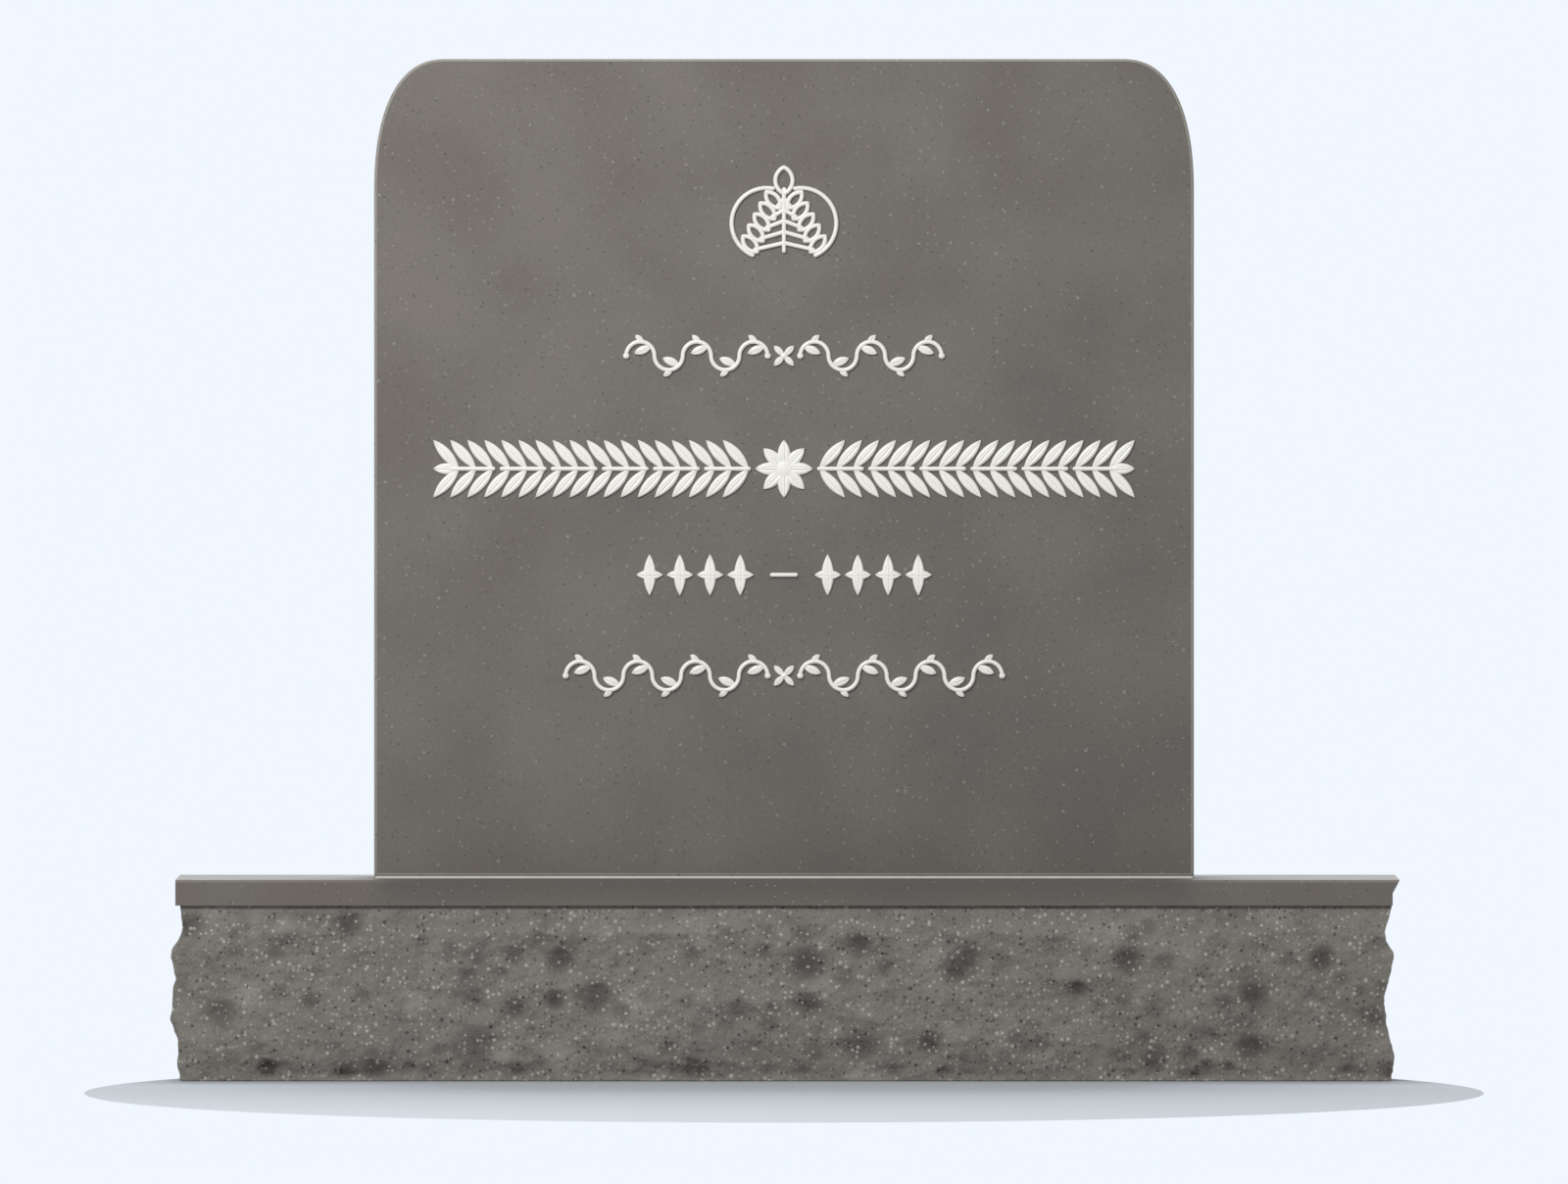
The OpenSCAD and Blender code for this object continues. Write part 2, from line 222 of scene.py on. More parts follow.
def is_rock(face):
    """True on the broken sides and ends, away from the flat underside and the dowel holes."""
    outside = abs(face.center.y) > 0.9 * abs(base_low.y) or abs(face.center.x) > 0.9 * base_high.x
    underside = face.center.z < 0.0005 and face.normal.z < -0.99
    return outside and not underside and face.center.z < pitch_line - 0.0001


def points_of(mesh):
    """The places of a mesh's vertices, one row each."""
    flat = np.empty(len(mesh.vertices) * 3)
    mesh.vertices.foreach_get("co", flat)
    return flat.reshape(-1, 3)


def set_weights(piece, name, weights):
    """Stores a value for each vertex as a vertex group, which shaders read by its name too."""
    group = piece.vertex_groups.new(name=name)
    for index in np.flatnonzero(weights > 0.001):
        group.add([int(index)], float(weights[index]), "REPLACE")


def spots(points, centres, radii, strengths):
    """Soft round spots: how strongly each point is covered by any of them."""
    cover = np.zeros(len(points))
    for centre, radius, strength in zip(centres, radii, strengths):
        away = np.linalg.norm(points - centre, axis=1) / radius
        cover = np.maximum(cover, strength * np.exp(-away ** 3))
    return cover


def rise(value, low, high):
    """0 below low, 1 above high, and a smooth rise between them."""
    share = np.clip((value - low) / (high - low), 0, 1)
    return share * share * (3 - 2 * share)


base = copy_of("base", "pitched_base")
select_faces(base, is_rock)
bpy.ops.mesh.subdivide(number_cuts=ROCK_CUTS)
bpy.ops.object.mode_set(mode="OBJECT")

points = points_of(base.data)
rock_points = np.zeros(len(points), bool)
for face in base.data.polygons:
    if is_rock(face):
        rock_points[list(face.vertices)] = True
free = rock_points * rise(points[:, 2], 0, 0.005) * rise(pitch_line - points[:, 2], 0.0005, 0.014)
set_weights(base, "broken", free)

on_rock = points[rock_points]
pit_centres = on_rock[chance.integers(0, len(on_rock), DEEP_PITS + SMALL_PITS)]
pit_radii = np.concatenate([chance.uniform(0.007, 0.013, DEEP_PITS),
                            chance.uniform(0.004, 0.008, SMALL_PITS)])
pit_strengths = np.concatenate([chance.uniform(0.7, 1.0, DEEP_PITS),
                                chance.uniform(0.2, 0.6, SMALL_PITS)])
pits = spots(points, pit_centres, pit_radii, pit_strengths)
# How deep in a hollow each point lies: it sinks the hollows, and the material paints them darker as painted
# shade.
set_weights(base, "hollows", pits * free)
bruise_centres = on_rock[chance.integers(0, len(on_rock), BRUISES)]
bruises = spots(points, bruise_centres, chance.uniform(0.006, 0.014, BRUISES),
                chance.uniform(0.2, 0.7, BRUISES))
set_weights(base, "bruises", bruises * rock_points)

modify(base, "SMOOTH", factor=0.5, iterations=3, vertex_group="broken")
for size, depth, kind in ((0.024, 0.0030, "VORONOI"), (0.011, 0.0020, "VORONOI"), (0.0055, 0.0014, "CLOUDS")):
    break_texture = bpy.data.textures.new("break", kind)
    break_texture.noise_scale = size
    modify(base, "DISPLACE", texture=break_texture, texture_coords="LOCAL", strength=depth,
           mid_level=0.75, vertex_group="broken")
modify(base, "DISPLACE", strength=-0.0035, mid_level=0, vertex_group="hollows")
for corner in base.data.vertices:
    corner.co.z = max(corner.co.z, 0)


def granite(name, tone, mottle, light_grain, dark_grain_and_shade, grain_size, grain_gap, roughness,
            grit, painted_light_drift=None, under_tablet_shadow=None, worked=False):
    """Granite: clouds of tone, fine crystals, and scattered light and dark grains.
    grit is the depth of its surface texture. The argument after it paints light across the slab, lighter on
    the lamp's side: the way, its ends along that way and the tones there. The next paints shadow below the
    tablet: the half width and foot of that dark band. worked adds the pale bruises, and the hollows painted
    darker as painted shade, that are stored on a pitched face."""
    material, tree, shader = new_material(name)
    place = add(tree, "ShaderNodeTexCoord").outputs["Object"]
    clouds = add(tree, "ShaderNodeTexNoise", Vector=place, Scale=11, Detail=2, Roughness=0.45)
    cloud_share = add(tree, "ShaderNodeMapRange", Value=clouds.outputs["Fac"],
                      From_Min=0.34, From_Max=0.66)
    low = [c * (1 - mottle) * hue for c, hue in zip(tone, (1.01, 0.985, 1.01, 1))]
    high = [c * (1 + mottle) * hue for c, hue in zip(tone, (0.995, 1.005, 0.98, 1))]
    colour = add(tree, "ShaderNodeMixRGB", Fac=cloud_share.outputs[0], Color1=low, Color2=high)
    crystals = add(tree, "ShaderNodeTexNoise", Vector=place, Scale=650, Detail=3, Roughness=0.6)
    crystal_share = add(tree, "ShaderNodeMapRange", Value=crystals.outputs["Fac"],
                        From_Min=0.3, From_Max=0.7, To_Min=0.90, To_Max=1.10)
    colour = add(tree, "ShaderNodeMixRGB", {"blend_type": "MULTIPLY"}, Fac=1.0,
                 Color1=colour.outputs[0], Color2=crystal_share.outputs[0])
    # Painted light: the colour is made lighter along one way across the slab, as if lit from that side.
    if painted_light_drift:
        along = add(tree, "ShaderNodeVectorMath", {"operation": "DOT_PRODUCT"})
        tree.links.new(place, along.inputs[0])
        along.inputs[1].default_value = painted_light_drift[0]
        lighter = add(tree, "ShaderNodeMapRange", Value=along.outputs["Value"],
                      From_Min=painted_light_drift[1], From_Max=painted_light_drift[2], To_Min=painted_light_drift[3], To_Max=painted_light_drift[4])
        colour = add(tree, "ShaderNodeMixRGB", {"blend_type": "MULTIPLY"}, Fac=1.0,
                     Color1=colour.outputs[0], Color2=lighter.outputs[0])
    # Painted shadow: in a band as wide as the tablet, the margin is painted darker towards its top, and the
    # base's top as dark, as if the tablet shaded them.
    if under_tablet_shadow:
        parts = add(tree, "ShaderNodeSeparateXYZ", Vector=place)
        aside = maths(tree, "ABSOLUTE", parts.outputs["X"])
        across = add(tree, "ShaderNodeMapRange", {"interpolation_type": "SMOOTHSTEP"},
                     Value=aside, From_Min=under_tablet_shadow[0] + 0.012, From_Max=under_tablet_shadow[0] - 0.02)
        down = add(tree, "ShaderNodeMapRange", Value=parts.outputs["Z"], From_Min=under_tablet_shadow[1],
                   From_Max=under_tablet_shadow[1] + MARGIN_HEIGHT, To_Min=0.2, To_Max=0.62)
        painted_shadow_amount = maths(tree, "MULTIPLY", across.outputs[0], down.outputs[0])
        colour = add(tree, "ShaderNodeMixRGB", Fac=painted_shadow_amount,
                     Color1=colour.outputs[0], Color2=dark_grain_and_shade)
    if worked:
        # Bruises are paler stone; the hollows are painted darker, as painted shade in them.
        for spot, shade, most in (("bruises", light_grain, 0.35), ("hollows", dark_grain_and_shade, 0.8)):
            cover = add(tree, "ShaderNodeAttribute", {"attribute_name": spot})
            share = add(tree, "ShaderNodeMapRange", Value=cover.outputs["Fac"], To_Max=most)
            colour = add(tree, "ShaderNodeMixRGB", Fac=share.outputs[0],
                         Color1=colour.outputs[0], Color2=shade)
    grain_cover = []
    for shade, offset in ((dark_grain_and_shade, 0.0), (light_grain, 3.7)):
        moved = add(tree, "ShaderNodeMapping", Vector=place, Location=(offset, offset, offset))
        grains = add(tree, "ShaderNodeTexVoronoi", Vector=moved.outputs[0], Scale=1 / grain_gap)
        chosen = add(tree, "ShaderNodeSeparateColor", Color=grains.outputs["Color"])
        strength = add(tree, "ShaderNodeMapRange", Value=chosen.outputs[0],
                       From_Min=0.12, From_Max=0.75, To_Max=0.95)
        wide = add(tree, "ShaderNodeMapRange", Value=chosen.outputs[1], To_Min=1.7, To_Max=0.75)
        away = maths(tree, "MULTIPLY", grains.outputs["Distance"], wide.outputs[0])
        radius = grain_size / 2 / grain_gap
        dot = add(tree, "ShaderNodeMapRange", {"interpolation_type": "SMOOTHSTEP"},
                  Value=away, From_Min=1.3 * radius, From_Max=0.3 * radius)
        cover = maths(tree, "MULTIPLY", strength.outputs[0], dot.outputs[0])
        colour = add(tree, "ShaderNodeMixRGB", Fac=cover,
                     Color1=colour.outputs[0], Color2=shade)
        grain_cover.append(cover)
    tree.links.new(colour.outputs[0], shader.inputs["Base Color"])
    polish = add(tree, "ShaderNodeMapRange", Value=grain_cover[0],
                 To_Min=roughness, To_Max=0.6 * roughness)
    tree.links.new(polish.outputs[0], shader.inputs["Roughness"])
    relief = add(tree, "ShaderNodeBump", Height=crystals.outputs["Fac"],
                 Strength=0.5, Distance=grit)
    if worked:
        chips = add(tree, "ShaderNodeTexNoise", Vector=place, Scale=170, Detail=2)
        relief = add(tree, "ShaderNodeBump", Height=chips.outputs["Fac"], Strength=0.6,
                     Distance=0.003, Normal=relief.outputs[0])
    tree.links.new(relief.outputs[0], shader.inputs["Normal"])
    return material


base.data.materials.append(granite(
    "pitched_granite", tone=srgb(117, 113, 107), mottle=0.04, light_grain=srgb(172, 168, 162),
    dark_grain_and_shade=srgb(44, 41, 38), grain_size=0.0027, grain_gap=0.0041, roughness=0.75,
    grit=0.0006, worked=True))
# The sawn margin carries the painted shadow below the tablet.
base.data.materials.append(granite(
    "sawn_granite", tone=srgb(101, 95, 89), mottle=0.05, light_grain=srgb(146, 142, 136),
    dark_grain_and_shade=srgb(66, 63, 60), grain_size=0.0022, grain_gap=0.0062, roughness=0.5,
    grit=0.00008, under_tablet_shadow=(tablet_high.x, pitch_line)))
for face in base.data.polygons:
    face.material_index = 0 if is_rock(face) else 1
make_active(base)
bpy.ops.object.shade_smooth_by_angle(angle=math.radians(38))
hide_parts("base")
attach(base, "root")


# ---- Dowels: two stainless steel bars, half in each stone, set in resin ----

dowel_steel, tree, shader = new_material("dowel_steel")
place = add(tree, "ShaderNodeTexCoord").outputs["Object"]
drawn = add(tree, "ShaderNodeMapping", Vector=place, Scale=(1, 1, 0.02))
lines = add(tree, "ShaderNodeTexNoise", Vector=drawn.outputs[0], Scale=900, Detail=2)
sheen = add(tree, "ShaderNodeMapRange", Value=lines.outputs["Fac"], To_Min=0.25, To_Max=0.5)
tree.links.new(sheen.outputs[0], shader.inputs["Roughness"])
shader.inputs["Base Color"].default_value = srgb(190, 190, 194)
shader.inputs["Metallic"].default_value = 1
for dowel in ("left_dowel", "right_dowel"):
    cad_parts[dowel].data.materials.clear()
    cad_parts[dowel].data.materials.append(dowel_steel)


# ---- Setting bed: grey compound squeezed between the stones and raked back from the faces ----

bed_low, bed_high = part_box("setting_bed")


def solid_box(name, low, high):
    """A box between two corners, with its place in its mesh."""
    bpy.ops.mesh.primitive_cube_add(size=1, location=(low + high) / 2)
    piece = bpy.context.object
    piece.name = name
    piece.scale = high - low
    bpy.ops.object.transform_apply(location=True, rotation=True, scale=True)
    return piece


def cut_with(piece, cutter):
    """Cuts one piece with another, and takes the cutter away."""
    modify(piece, "BOOLEAN", operation="DIFFERENCE", solver="EXACT", object=cutter)
    bpy.data.objects.remove(cutter)


def dowel_drill():
    """Both dowel holes as one solid, with room for resin round the bars."""
    room = 0.001
    for dowel in ("left_dowel", "right_dowel"):
        low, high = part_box(dowel)
        bpy.ops.mesh.primitive_cylinder_add(
            vertices=48, radius=(high.x - low.x) / 2 + room, depth=high.z - low.z + 2 * room,
            location=(low + high) / 2)
        if dowel == "left_dowel":
            first = bpy.context.object
    first.select_set(True)
    bpy.ops.object.join()
    drill = bpy.context.object
    bpy.ops.object.transform_apply(location=True, rotation=True, scale=True)
    return drill


bed = solid_box("setting_bed_joint", bed_low, bed_high)
bpy.ops.object.mode_set(mode="EDIT")
bpy.ops.mesh.select_all(action="SELECT")
bpy.ops.mesh.bevel(offset=0.0004, segments=2, affect="EDGES")
bpy.ops.object.mode_set(mode="OBJECT")
cut_with(bed, dowel_drill())
bed_material, tree, shader = new_material("setting_compound")
place = add(tree, "ShaderNodeTexCoord").outputs["Object"]
smears = add(tree, "ShaderNodeTexNoise", Vector=place, Scale=90, Detail=4, Roughness=0.6)
paste = add(tree, "ShaderNodeMixRGB", Fac=smears.outputs["Fac"], Color1=srgb(206, 202, 195),
            Color2=srgb(226, 222, 215))
tree.links.new(paste.outputs[0], shader.inputs["Base Color"])
shader.inputs["Roughness"].default_value = 0.8
lumps = add(tree, "ShaderNodeBump", Height=smears.outputs["Fac"], Strength=0.4, Distance=0.0003)
tree.links.new(lumps.outputs[0], shader.inputs["Normal"])
bed.data.materials.append(bed_material)
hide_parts("setting_bed")
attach(bed, "root")


# ---- Tablet: a sawn granite slab with full shoulders, honed all over, its arrises rubbed
# round by hand. It is drilled below for the dowels and in front for the castings' studs. ----

SHOULDER_RUN = 0.054
SHOULDER_DROP = 0.102
SHOULDER_PROFILE = 0.5612  # full, between a quarter ellipse and a square corner
ARRIS = 0.002
STUD_RADIUS = 0.0015
STUD_ROOM = 0.0003
STUD_LENGTH = 0.009
CASTINGS = [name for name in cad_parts
            if name not in ("tablet", "base", "setting_bed", "left_dowel", "right_dowel")]
face_y = tablet_low.y


def stud_places(casting):
    """Where a CAD casting's studs stand on the tablet's face, as (x, z)."""
    tips = [v.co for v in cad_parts[casting].data.vertices
            if v.co.y > face_y + STUD_LENGTH - 0.0001]
    found = []
    for tip in tips:
        near = [group for group in found if (group[0] - tip).length < 4 * STUD_RADIUS]
        if near:
            near[0].append(tip)
        else:
            found.append([tip])
    middles = []
    for group in found:
        xs = [tip.x for tip in group]
        zs = [tip.z for tip in group]
        middles.append(((min(xs) + max(xs)) / 2, (min(zs) + max(zs)) / 2))
    return middles


def stud(x, z, radius, inside, outside):
    """A bar square to the tablet's face, from inside the stone to outside it."""
    bpy.ops.mesh.primitive_cylinder_add(
        vertices=20, radius=radius, depth=inside + outside, rotation=(math.pi / 2, 0, 0),
        location=(x, face_y + (inside - outside) / 2, z))
    bpy.ops.object.transform_apply(location=True, rotation=True, scale=True)
    return bpy.context.object


def joined(parts, name):
    """Several objects as one, with its place in its mesh."""
    bpy.ops.object.select_all(action="DESELECT")
    for part in parts:
        part.select_set(True)
    bpy.context.view_layer.objects.active = parts[0]
    if len(parts) > 1:
        bpy.ops.object.join()
    whole = bpy.context.object
    whole.name = name
    bpy.ops.object.transform_apply(location=True, rotation=True, scale=True)
    return whole


def select_edges(piece, wanted):
    """Goes into edit mode with just the wanted edges selected, by their two ends."""
    bpy.ops.object.mode_set(mode="EDIT")
    bpy.ops.mesh.select_mode(type="EDGE")
    bpy.ops.mesh.select_all(action="DESELECT")
    bpy.ops.object.mode_set(mode="OBJECT")
    for edge in piece.data.edges:
        edge.select = wanted(*[piece.data.vertices[i].co for i in edge.vertices])
    bpy.ops.object.mode_set(mode="EDIT")


tablet = solid_box("honed_tablet", tablet_low, tablet_high)
top = tablet_high.z
select_edges(tablet, lambda a, b: min(a.z, b.z) > top - 0.001 and abs(a.y - b.y) > 0.1)
bpy.ops.mesh.bevel(offset=SHOULDER_RUN, segments=24, profile=SHOULDER_PROFILE, affect="EDGES")
select_edges(tablet, lambda a, b: min(a.z, b.z) > top - SHOULDER_RUN - 0.0005)
bpy.ops.transform.resize(value=(1, 1, SHOULDER_DROP / SHOULDER_RUN), center_override=(0, 0, top))
select_edges(tablet, lambda a, b: abs(a.y - b.y) < 0.001)
bpy.ops.mesh.bevel(offset=ARRIS, segments=3, affect="EDGES")
bpy.ops.object.mode_set(mode="OBJECT")
cut_with(tablet, dowel_drill())
drills = [stud(x, z, STUD_RADIUS + STUD_ROOM, STUD_LENGTH + STUD_ROOM, 0.002)
          for casting in CASTINGS for x, z in stud_places(casting)]
cut_with(tablet, joined(drills, "stud_drill"))

# Painted light: the slab is painted a little lighter towards its upper left, on the key lamp's side, and
# darker
# towards its lower right: the way that runs, its ends along that way, and the tone there. Its arrises are
# lighter still, partly as a painted highlight.
PAINTED_LIGHT_DRIFT = ((-0.66, 0, 0.75), 0.0, 0.72, 0.90, 1.16)
tablet.data.materials.append(granite(
    "honed_granite", tone=srgb(103, 98, 92), mottle=0.11, light_grain=srgb(152, 148, 141),
    dark_grain_and_shade=srgb(66, 63, 60), grain_size=0.0022, grain_gap=0.0056, roughness=0.5,
    grit=0.00006, painted_light_drift=PAINTED_LIGHT_DRIFT))
# The arrises: a lighter granite, partly the paler look of rubbed stone and partly a painted highlight along
# the edges.
tablet.data.materials.append(granite(
    "rubbed_arris_and_highlight", tone=srgb(150, 147, 141), mottle=0.05, light_grain=srgb(176, 172, 165),
    dark_grain_and_shade=srgb(92, 89, 84), grain_size=0.0022, grain_gap=0.0056, roughness=0.7,
    grit=0.0001))
for face in tablet.data.polygons:
    slanted = 0.1 < abs(face.normal.y) < 0.98
    face.material_index = 1 if slanted and min(face.center.y - tablet_low.y,
                                               tablet_high.y - face.center.y) < ARRIS else 0
make_active(tablet)
bpy.ops.object.shade_smooth_by_angle(angle=math.radians(35))
modify(tablet, "WEIGHTED_NORMAL", keep_sharp=True)
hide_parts("tablet")
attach(tablet, "root")


# ---- Castings: thin metal ornament, vitreous enamelled off-white, with studs cast on the
# back that are set in resin in the stone. Strokes are rounded bars, and leaves have midribs. ----

STROKE = 0.0032
CASTING = 0.003            # thickness
SHOULDER = 0.4             # share of the thickness that is upright side

enamel, tree, shader = new_material("white_enamel")
place = add(tree, "ShaderNodeTexCoord").outputs["Object"]
pools = add(tree, "ShaderNodeTexNoise", Vector=place, Scale=260, Detail=3)
glaze = add(tree, "ShaderNodeMixRGB", Fac=pools.outputs["Fac"], Color1=srgb(241, 239, 234),
            Color2=srgb(248, 247, 243))
tree.links.new(glaze.outputs[0], shader.inputs["Base Color"])
shader.inputs["Roughness"].default_value = 0.32
waves = add(tree, "ShaderNodeBump", Height=pools.outputs["Fac"], Strength=0.15, Distance=0.0002)
tree.links.new(waves.outputs[0], shader.inputs["Normal"])


def flatten_foot(piece):
    """Sets everything below the shoulder of a rounded bar flat on the stone."""
    for corner in piece.data.vertices:
        if corner.co.z < SHOULDER * CASTING - 1e-6:
            corner.co.z = 0


def knob(size):
    """A domed disc, for the end of a stroke or the heart of a flower."""
    dome = CASTING * (1 - SHOULDER)
    bpy.ops.mesh.primitive_uv_sphere_add(segments=24, ring_count=12, radius=1,
                                         location=(0, 0, SHOULDER * CASTING))
    piece = bpy.context.object
    piece.scale = (size / 2, size / 2, dome)
    bpy.ops.object.transform_apply(location=True, rotation=True, scale=True)
    flatten_foot(piece)
    return piece


def bar_end(x):
    """The cross-section of a stroke as a wire, standing at x."""
    bpy.ops.mesh.primitive_circle_add(vertices=16, radius=1, rotation=(math.pi / 2, 0, 0),
                                      location=(x, 0, SHOULDER * CASTING))
    piece = bpy.context.object
    piece.scale = (STROKE / 2, CASTING * (1 - SHOULDER), 1)
    bpy.ops.object.transform_apply(location=True, rotation=True, scale=True)
    flatten_foot(piece)
    return piece


def close_ends():
    """Fills the open ends of the bar in edit mode and turns its faces outwards."""
    bpy.ops.mesh.select_all(action="SELECT")
    bpy.ops.mesh.fill_holes(sides=0)
    bpy.ops.mesh.select_all(action="SELECT")
    bpy.ops.mesh.delete_loose()
    bpy.ops.mesh.select_all(action="SELECT")
    bpy.ops.mesh.normals_make_consistent(inside=False)
    bpy.ops.object.mode_set(mode="OBJECT")


def arc_bar(radius, start, sweep):
    """A stroke bent round the origin, from one angle on through a sweep, in degrees."""
    piece = bar_end(radius)
    bpy.ops.object.mode_set(mode="EDIT")
    bpy.ops.mesh.select_all(action="SELECT")
    bpy.ops.mesh.spin(steps=max(6, round(sweep / 7)), angle=-math.radians(sweep),
                      center=(0, 0, 0), axis=(0, 0, 1))
    close_ends()
    piece.data.transform(Matrix.Rotation(math.radians(start), 4, "Z"))
    return piece


def line_bar(a, b):
    """A straight stroke from a to b, with round ends."""
    a, b = Vector(a), Vector(b)
    piece = bar_end(0)
    bpy.ops.object.mode_set(mode="EDIT")
    bpy.ops.mesh.select_all(action="SELECT")
    bpy.ops.mesh.extrude_region_move(TRANSFORM_OT_translate={"value": (0, (b - a).length, 0)})
    close_ends()
    turn = math.atan2((b - a).y, (b - a).x) - math.pi / 2
    piece.data.transform(Matrix.Translation((a.x, a.y, 0)) @ Matrix.Rotation(turn, 4, "Z"))
    return [piece, put(knob(STROKE), a), put(knob(STROKE), b)]


def put(piece, at, turn=0):
    """Moves a part of a casting to its place on the drawing, turned by so many degrees."""
    piece.data.transform(Matrix.Translation((at[0], at[1], 0))
                         @ Matrix.Rotation(math.radians(turn), 4, "Z"))
    return piece


def copies(pattern, places):
    """Copies of a modelled part at (x, y, turn) places. The pattern itself takes the last."""
    made = []
    for x, y, turn in places[:-1]:
        twin = pattern.copy()
        twin.data = pattern.data.copy()
        bpy.context.collection.objects.link(twin)
        made.append(put(twin, (x, y), turn))
    x, y, turn = places[-1]
    made.append(put(pattern, (x, y), turn))
    return made


TIP_THICKNESS = 0.55       # of a leaf's, as a share of its middle's
# Rows of a leaf from its edge in to the midrib: share of the half width, and of the thickness
LEAF_ROWS = ((1, 0.35), (0.94, 0.62), (0.72, 0.86), (0.42, 0.9), (0.16, 0.72), (0.07, 0.95), (0, 1.0))


def leaf(length, width):
    """A pointed leaf along x from the origin, swelling to each side of a raised midrib."""
    radius = (length ** 2 + width ** 2) / (4 * width)
    half_angle = math.asin(length / 2 / radius)
    bpy.ops.mesh.primitive_circle_add(vertices=round(12 * math.pi / half_angle), radius=radius,
                                      location=(length / 2, width / 2 - radius, 0))
    piece = bpy.context.object
    bpy.ops.object.transform_apply(location=True, rotation=True, scale=True)
    bpy.ops.object.mode_set(mode="EDIT")
    bpy.ops.mesh.select_all(action="SELECT")
    bpy.ops.mesh.bisect(plane_co=(0, 0, 0), plane_no=(0, 1, 0), clear_inner=True)
    bpy.ops.mesh.select_all(action="SELECT")
    before_y, before_z = 1, 0
    for row_y, row_z in LEAF_ROWS:
        bpy.ops.mesh.extrude_region_move(
            TRANSFORM_OT_translate={"value": (0, 0, (row_z - before_z) * CASTING)})
        bpy.ops.transform.resize(value=(1, row_y / before_y, 1), center_override=(0, 0, 0))
        before_y, before_z = row_y, row_z
    bpy.ops.mesh.select_all(action="SELECT")
    bpy.ops.mesh.symmetrize(direction="POSITIVE_Y", threshold=1e-6)
    bpy.ops.mesh.select_all(action="SELECT")
    bpy.ops.mesh.remove_doubles(threshold=1e-6)
    close_ends()
    back_of_leaf = max(piece.data.polygons, key=lambda face: face.area)
    if back_of_leaf.normal.z > 0:
        piece.data.flip_normals()
    for corner in piece.data.vertices:
        share = min(max(corner.co.x / length, 0), 1)
        corner.co.z *= TIP_THICKNESS + (1 - TIP_THICKNESS) * math.sin(math.pi * share) ** 0.6
    return piece


def fix(parts, name, x, z, mirror=False):
    """Makes the parts of one casting into a piece on the tablet's face, with its studs."""
    whole = joined(parts, name + "_casting")
    if mirror:
        whole.data.transform(Matrix.Scale(-1, 4, (1, 0, 0)))
        whole.data.flip_normals()
    whole.data.transform(Matrix.Translation((x, face_y, z)) @ Matrix.Rotation(math.pi / 2, 4, "X"))
    studs = [stud(sx, sz, STUD_RADIUS, STUD_LENGTH, 0.0008) for sx, sz in stud_places(name)]
    whole = joined([whole] + studs, name + "_casting")
    whole.data.materials.clear()
    whole.data.materials.append(enamel)
    bpy.ops.object.shade_smooth_by_angle(angle=math.radians(40))
    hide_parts(name)
    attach(whole, "root")
    return whole


# ---- Emblem: one openwork casting, a sprig of leaf loops standing between two open arcs ----

EMBLEM_DROP = 0.115
WREATH_X, WREATH_Y, WREATH_R = 0.0128, -0.0073, 0.0262
TWIGS = 5
TWIG_FOOT, TWIG_RISE, TWIG_DROOP = -0.025, 0.0082, 0.005
TWIG_REACH, TWIG_STEP = 0.0215, 0.0043
BUD_Y = 0.015


def leaf_loop(length, width):
    """A leaf drawn as a stroke round an opening, from the origin along x."""
    inner_l = length - 1.1 * STROKE
    inner_w = width - STROKE
    radius = (inner_l ** 2 + inner_w ** 2) / (4 * inner_w)
    half = math.degrees(math.asin(inner_l / 2 / radius))
    middle = length / 2
    upper = put(arc_bar(radius, 90 - half, 2 * half), (middle, inner_w / 2 - radius))
    lower = put(arc_bar(radius, 270 - half, 2 * half), (middle, radius - inner_w / 2))
    tips = [put(knob(STROKE), (middle + side * inner_l / 2, 0)) for side in (-1, 1)]
    return joined([upper, lower] + tips, "leaf_loop")


def both_sides(parts):
    """The parts, and the same parts mirrored to the left of the drawing."""
    right = joined(parts, "right_half")
    left = right.copy()
    left.data = right.data.copy()
    bpy.context.collection.objects.link(left)
    left.data.transform(Matrix.Scale(-1, 4, (1, 0, 0)))
    left.data.flip_normals()
    return [right, left]


wreath = put(arc_bar(WREATH_R, -66, 166), (WREATH_X, WREATH_Y))
half = [wreath]
for angle in (-66, 100):
    end = math.radians(angle)
    half.append(put(knob(STROKE), (WREATH_X + WREATH_R * math.cos(end),
                                   WREATH_Y + WREATH_R * math.sin(end))))
loop_places = []
for n in range(TWIGS):
    tip = (TWIG_REACH - TWIG_STEP * n, TWIG_FOOT + TWIG_RISE * n - 0.002)
    half += line_bar((0, tip[1] + TWIG_DROOP), tip)
    back = math.radians(48)
    loop_places.append((tip[0] - 0.004 * math.cos(back), tip[1] - 0.004 * math.sin(back), 48))
half += copies(leaf_loop(0.019, 0.011), loop_places)
emblem = both_sides(half)
emblem += line_bar((0, TWIG_FOOT - 0.003), (0, BUD_Y))
emblem.append(put(leaf_loop(0.023, 0.016), (0, BUD_Y - 0.002), 90))
fix(emblem, "emblem", 0, tablet_high.z - EMBLEM_DROP)


# ---- Verses: in place of each verse, two waving stems in leaf either side of a small flower ----

BUD = 0.015
CASTING_GAP = 0.003
scroll_start = BUD / 2 + CASTING_GAP + STROKE / 2


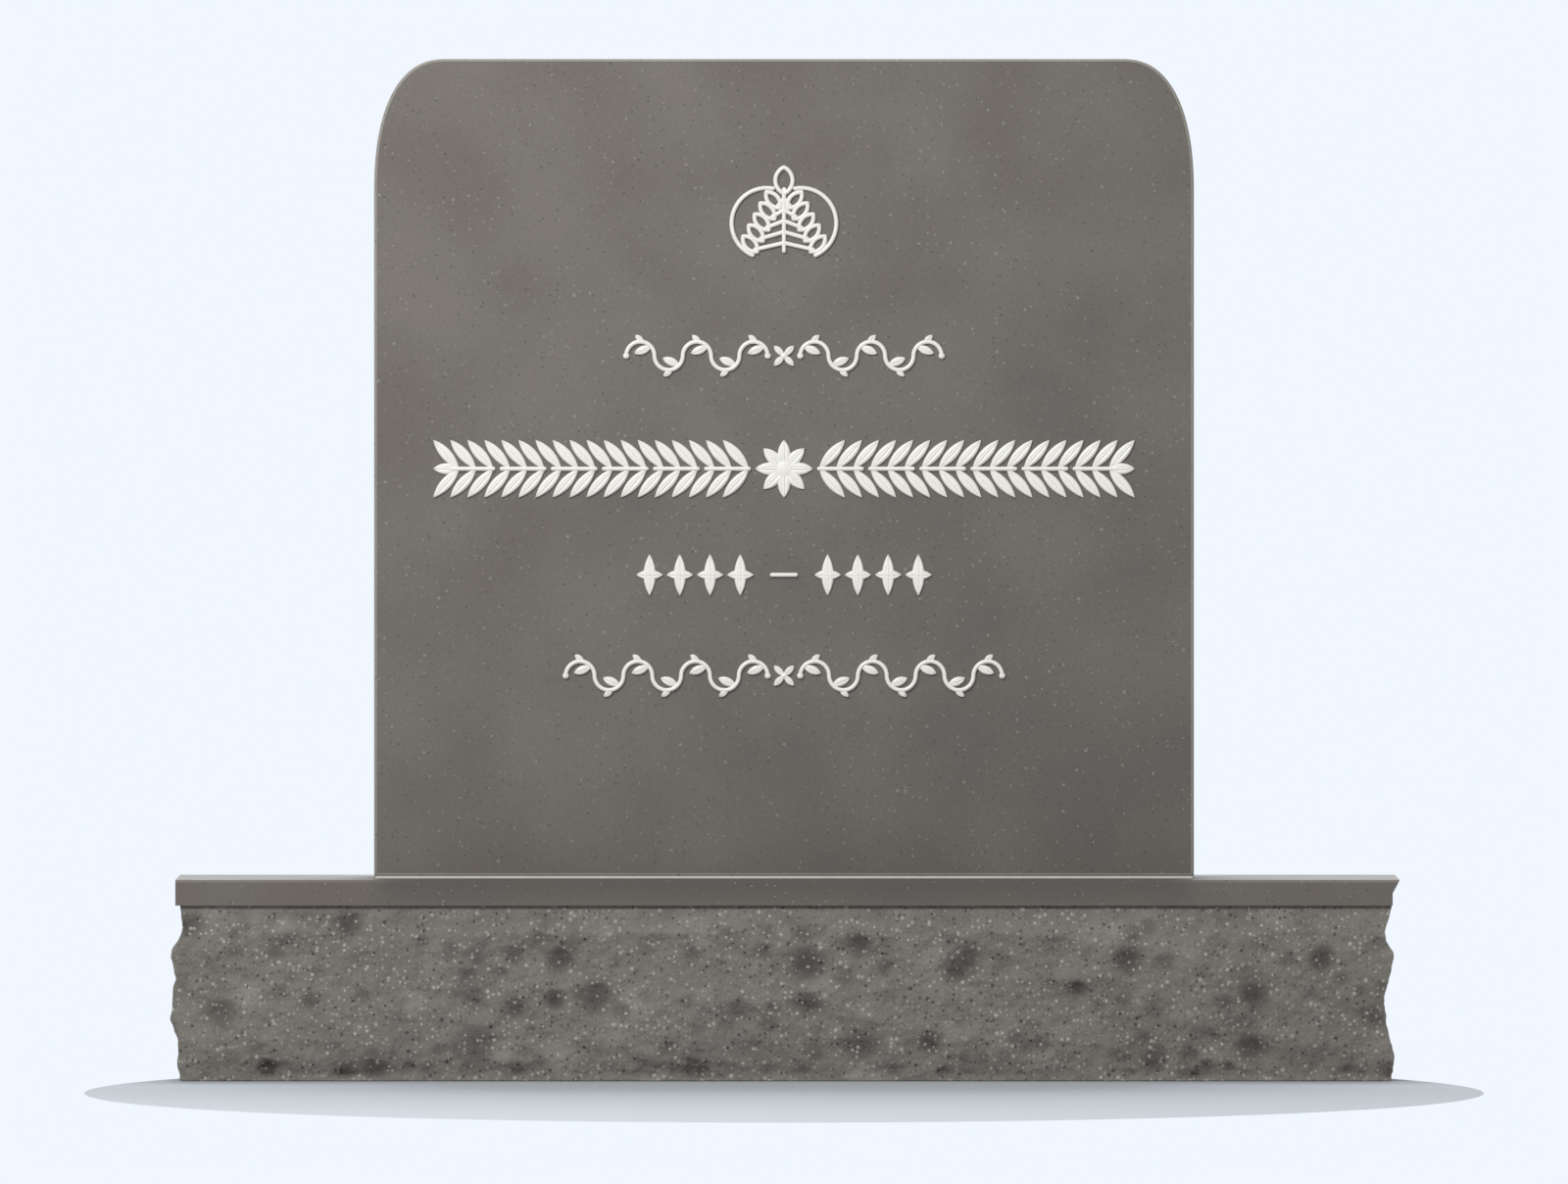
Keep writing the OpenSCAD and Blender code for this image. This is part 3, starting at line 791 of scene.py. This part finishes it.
def scroll(width, waves):
    """The right half of a verse scroll, from the flower outwards."""
    radius = (width / 2 - BUD / 2 - CASTING_GAP - STROKE) / (2 * waves)
    stems, large, small = [], [], []
    for n in range(waves):
        middle = scroll_start + (2 * n + 1) * radius
        up = 1 if n % 2 == 0 else -1
        stems.append((middle, 0, 0 if up > 0 else 180))
        for leaves, angle, turn in ((large, 140, -22), (small, 105, 38)):
            foot = math.radians(angle)
            leaves.append((middle + radius * math.cos(foot), up * radius * math.sin(foot), up * turn))
    ends = [(scroll_start + 2 * radius * n, 0, 0) for n in (0, waves)]
    return (copies(arc_bar(radius, 0, 180), stems)
            + copies(leaf(1.3 * radius, 0.6 * radius), large)
            + copies(leaf(0.8 * radius, 0.42 * radius), small)
            + copies(knob(1.5 * STROKE), ends))


for verse, width, waves in (("upper", 0.238, 5), ("lower", 0.328, 7)):
    low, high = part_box(verse + "_bud")
    height = (low.z + high.z) / 2
    fix(scroll(width, waves), f"right_{verse}_scroll", 0, height)
    fix(scroll(width, waves), f"left_{verse}_scroll", 0, height, mirror=True)
    petals = copies(leaf(BUD / math.sqrt(2), BUD / 3), [(0, 0, turn) for turn in (45, 135, 225, 315)])
    fix(petals + [knob(BUD / 3)], verse + "_bud", 0, height)


# ---- Name row: in place of the name, two laurel branches cast as short sprays, either side
# of a rosette. The outermost spray ends in a leaf. ----

LAUREL_PAIRS = 3
LAUREL_ANGLE = 48
PETALS = 8
SPRAYS = len([name for name in CASTINGS if name.startswith("right_spray")])

rosette_low, rosette_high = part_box("rosette")
row_z = (rosette_low.z + rosette_high.z) / 2
row_h = rosette_high.z - rosette_low.z
first_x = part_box("right_spray_1")[0].x
spray_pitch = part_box("right_spray_2")[0].x - first_x
pair_pitch = spray_pitch / LAUREL_PAIRS
laurel_run = row_h / 2 / math.tan(math.radians(LAUREL_ANGLE))
laurel_w = 0.88 * pair_pitch * math.sin(math.radians(LAUREL_ANGLE))


def spray(last):
    """A right-hand spray: a stem with pairs of laurel leaves."""
    feet = [STROKE / 2 + k * pair_pitch for k in range(LAUREL_PAIRS)]
    places = [(foot, 0, side * LAUREL_ANGLE) for foot in feet for side in (1, -1)]
    parts = copies(leaf(math.hypot(laurel_run, row_h / 2), laurel_w), places)
    if last:
        parts.append(put(leaf(laurel_run, laurel_w), (feet[-1], 0)))
    return parts + line_bar((STROKE / 2, 0), (spray_pitch - CASTING_GAP - STROKE / 2, 0))


for n in range(1, SPRAYS + 1):
    x = first_x + (n - 1) * spray_pitch
    fix(spray(n == SPRAYS), f"right_spray_{n}", x, row_z)
    fix(spray(n == SPRAYS), f"left_spray_{n}", -x, row_z, mirror=True)
petals = copies(leaf(row_h / 2, row_h / 4.6), [(0, 0, 360 / PETALS * i) for i in range(PETALS)])
fix(petals + [knob(row_h / 3)], "rosette", 0, row_z)


# ---- Date row: in place of the dates, four-pointed stars either side of a dash ----

dash_low, dash_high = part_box("dash")
date_z = (dash_low.z + dash_high.z) / 2
dash_w = dash_high.x - dash_low.x
star_low, star_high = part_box("right_star_1")
star_w = star_high.x - star_low.x
star_h = star_high.z - star_low.z

for name in [name for name in CASTINGS if "star" in name]:
    low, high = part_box(name)
    across = put(leaf(star_w, star_w / 2.6), (-star_w / 2, 0))
    upright = put(leaf(star_h, star_w / 2.2), (0, -star_h / 2), 90)
    fix([across, upright], name, (low.x + high.x) / 2, date_z)
fix(line_bar((-dash_w / 2 + STROKE / 2, 0), (dash_w / 2 - STROKE / 2, 0)), "dash", 0, date_z)
